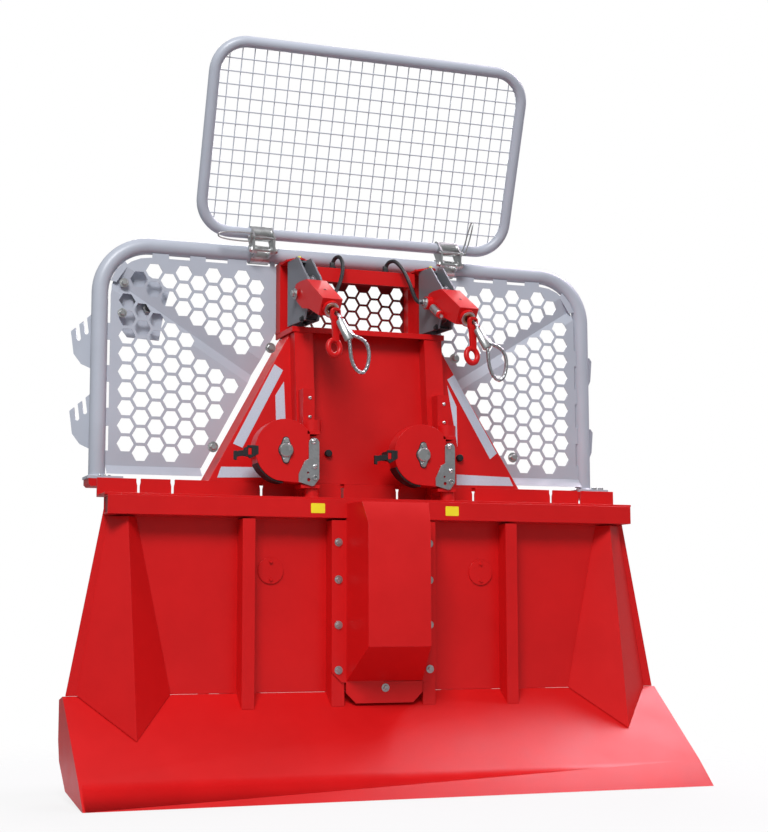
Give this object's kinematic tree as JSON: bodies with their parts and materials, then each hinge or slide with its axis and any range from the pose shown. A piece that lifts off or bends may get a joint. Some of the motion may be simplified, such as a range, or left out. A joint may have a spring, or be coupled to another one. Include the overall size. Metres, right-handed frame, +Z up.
{
  "type": "hydraulic winch",
  "caption": "tractor-mounted forestry winch with a log blade, leaning tower, swivelling rope outlets, swinging lower pulleys, honeycomb guard and folding mesh screen",
  "frame": {"origin": "on the ground, under the middle of the bounding box", "axes": "+X to the right seen from the log side, +Y from the logs towards the tractor, +Z up"},
  "size_m": [1.816, 0.82, 2.183],
  "materials": {
    "red": "gloss",
    "grey": "satin",
    "dark": "satin",
    "zinc": "satin",
    "steel": "satin",
    "rubber": "matt",
    "black": "satin"
  },
  "bodies": {
    "winch": {"blade_plate": "red", "blade_toe": "red", "top_beam": "red", "chain_rack": "red", "centre_cover": "red", "tower_plate": "red", "tower_shelf": "red", "mast_frame": "red", "mast_panel": "red", "rear_frame": "red", "rear_cover": "red", "guard_tube": "grey", "gear_case": "dark", "valve_block": "steel", "oil_tank": "black", "gusset_left": "red", "rib_outer_left": "red", "rib_inner_left": "red", "tower_column_left": "red", "guard_sheet_left": "grey", "choker_rack_left": "grey", "clamp_base_left": "zinc", "hose_left": "rubber", "gusset_right": "red", "rib_outer_right": "red", "rib_inner_right": "red", "tower_column_right": "red", "guard_sheet_right": "grey", "choker_rack_right": "grey", "clamp_base_right": "zinc", "hose_right": "rubber"},
    "screen": {"screen_tube": "grey", "screen_mesh": "grey", "screen_bracket_left": "zinc", "screen_bracket_right": "zinc"},
    "lock_pin_left": {"screen_lock_pin_left": "zinc"},
    "head_left": {"head_bracket_left": "dark"},
    "arm_left": {"head_arm_left": "red"},
    "head_wheel_left": {"head_sheave_left": "steel"},
    "rope_left": {"rope_end_left": "steel"},
    "hook_left": {"choker_hook_left": "red"},
    "lower_pulley_left": {"pulley_body_left": "red"},
    "lower_wheel_left": {"pulley_sheave_left": "steel"},
    "latch_left": {"pulley_latch_left": "rubber"},
    "drum_left_body": {"drum_left": "steel"},
    "leg_left": {"support_leg_left": "grey"},
    "lock_pin_right": {"screen_lock_pin_right": "zinc"},
    "head_right": {"head_bracket_right": "dark"},
    "arm_right": {"head_arm_right": "red"},
    "head_wheel_right": {"head_sheave_right": "steel"},
    "rope_right": {"rope_end_right": "steel"},
    "hook_right": {"choker_hook_right": "red"},
    "lower_pulley_right": {"pulley_body_right": "red"},
    "lower_wheel_right": {"pulley_sheave_right": "steel"},
    "latch_right": {"pulley_latch_right": "rubber"},
    "drum_right_body": {"drum_right": "steel"},
    "leg_right": {"support_leg_right": "grey"},
    "main_shaft": {"drum_shaft": "steel"},
    "input_shaft": {"pto_shaft": "steel"},
    "hitch_pin": {"top_link_pin": "zinc"}
  },
  "joints": [
    {"name": "screen_fold", "type": "hinge", "parent": "winch", "child": "screen", "pos_m": [0, 0.085, 1.584], "axis": [1, 0, 0], "range_deg": [-3, 70]},
    {"name": "lock_pin_left_pull", "type": "slide", "parent": "screen", "child": "lock_pin_left", "axis": [-1, 0, 0], "range_m": [0, 0.06]},
    {"name": "head_swivel_left", "type": "hinge", "parent": "winch", "child": "head_left", "pos_m": [-0.212, 0.022, 1.339], "axis": [0, 0, 1], "range_deg": [-40, 20], "deforming": ["hose_left"]},
    {"name": "arm_tilt_left", "type": "hinge", "parent": "head_left", "child": "arm_left", "pos_m": [-0.2066, -0.03976, 1.43], "axis": [-0.9962, -0.0872, 0], "range_deg": [-20, 25]},
    {"name": "head_sheave_left_spin", "type": "hinge", "parent": "arm_left", "child": "head_wheel_left", "pos_m": [-0.2066, -0.03976, 1.43], "axis": [0.9962, 0.0872, 0], "continuous": true},
    {"name": "rope_pull_left", "type": "slide", "parent": "arm_left", "child": "rope_left", "axis": [0.0654, -0.7472, -0.6613], "range_m": [0, 0.1]},
    {"name": "hook_swing_left", "type": "hinge", "parent": "rope_left", "child": "hook_left", "pos_m": [-0.1863, -0.24879, 1.338], "axis": [0.0872, -0.9962, 0], "range_deg": [-40, 40]},
    {"name": "pulley_swing_left", "type": "hinge", "parent": "winch", "child": "lower_pulley_left", "pos_m": [-0.211, -0.104, 0.95], "axis": [0, 0, 1], "range_deg": [0, 120]},
    {"name": "pulley_sheave_left_spin", "type": "hinge", "parent": "lower_pulley_left", "child": "lower_wheel_left", "pos_m": [-0.297, -0.104, 0.957], "axis": [0, 1, 0], "continuous": true},
    {"name": "latch_left_open", "type": "hinge", "parent": "lower_pulley_left", "child": "latch_left", "pos_m": [-0.38715, -0.132, 0.952], "axis": [0, 0, 1], "range_deg": [0, 60]},
    {"name": "drum_left_spin", "type": "hinge", "parent": "winch", "child": "drum_left_body", "pos_m": [-0.208, 0.095, 0.49], "axis": [1, 0, 0], "continuous": true},
    {"name": "leg_left_slide", "type": "slide", "parent": "winch", "child": "leg_left", "axis": [0, 0, 1], "range_m": [0, 0.15]},
    {"name": "lock_pin_right_pull", "type": "slide", "parent": "screen", "child": "lock_pin_right", "axis": [1, 0, 0], "range_m": [0, 0.06]},
    {"name": "head_swivel_right", "type": "hinge", "parent": "winch", "child": "head_right", "pos_m": [0.212, 0.022, 1.339], "axis": [0, 0, 1], "range_deg": [-20, 40], "deforming": ["hose_right"]},
    {"name": "arm_tilt_right", "type": "hinge", "parent": "head_right", "child": "arm_right", "pos_m": [0.2174, -0.03976, 1.43], "axis": [-0.9962, -0.0872, 0], "range_deg": [-20, 25]},
    {"name": "head_sheave_right_spin", "type": "hinge", "parent": "arm_right", "child": "head_wheel_right", "pos_m": [0.2174, -0.03976, 1.43], "axis": [0.9962, 0.0872, 0], "continuous": true},
    {"name": "rope_pull_right", "type": "slide", "parent": "arm_right", "child": "rope_right", "axis": [0.0654, -0.7472, -0.6613], "range_m": [0, 0.1]},
    {"name": "hook_swing_right", "type": "hinge", "parent": "rope_right", "child": "hook_right", "pos_m": [0.2377, -0.24879, 1.338], "axis": [0.0872, -0.9962, 0], "range_deg": [-40, 40]},
    {"name": "pulley_swing_right", "type": "hinge", "parent": "winch", "child": "lower_pulley_right", "pos_m": [0.211, -0.104, 0.95], "axis": [0, 0, 1], "range_deg": [0, 120]},
    {"name": "pulley_sheave_right_spin", "type": "hinge", "parent": "lower_pulley_right", "child": "lower_wheel_right", "pos_m": [0.125, -0.104, 0.957], "axis": [0, 1, 0], "continuous": true},
    {"name": "latch_right_open", "type": "hinge", "parent": "lower_pulley_right", "child": "latch_right", "pos_m": [0.03485, -0.132, 0.952], "axis": [0, 0, 1], "range_deg": [0, 60]},
    {"name": "drum_right_spin", "type": "hinge", "parent": "winch", "child": "drum_right_body", "pos_m": [0.208, 0.095, 0.49], "axis": [1, 0, 0], "continuous": true},
    {"name": "leg_right_slide", "type": "slide", "parent": "winch", "child": "leg_right", "axis": [0, 0, 1], "range_m": [0, 0.15]},
    {"name": "drum_shaft_spin", "type": "hinge", "parent": "winch", "child": "main_shaft", "pos_m": [0, 0.095, 0.49], "axis": [1, 0, 0], "continuous": true},
    {"name": "pto_spin", "type": "hinge", "parent": "winch", "child": "input_shaft", "pos_m": [0, 0.36, 0.49], "axis": [0, 1, 0], "continuous": true},
    {"name": "top_link_pin_pull", "type": "slide", "parent": "winch", "child": "hitch_pin", "axis": [1, 0, 0], "range_m": [0, 0.12]}
  ],
  "couplings": [
    {"joint": "pto_spin", "follows": "drum_shaft_spin", "ratio": -5.2}
  ]
}
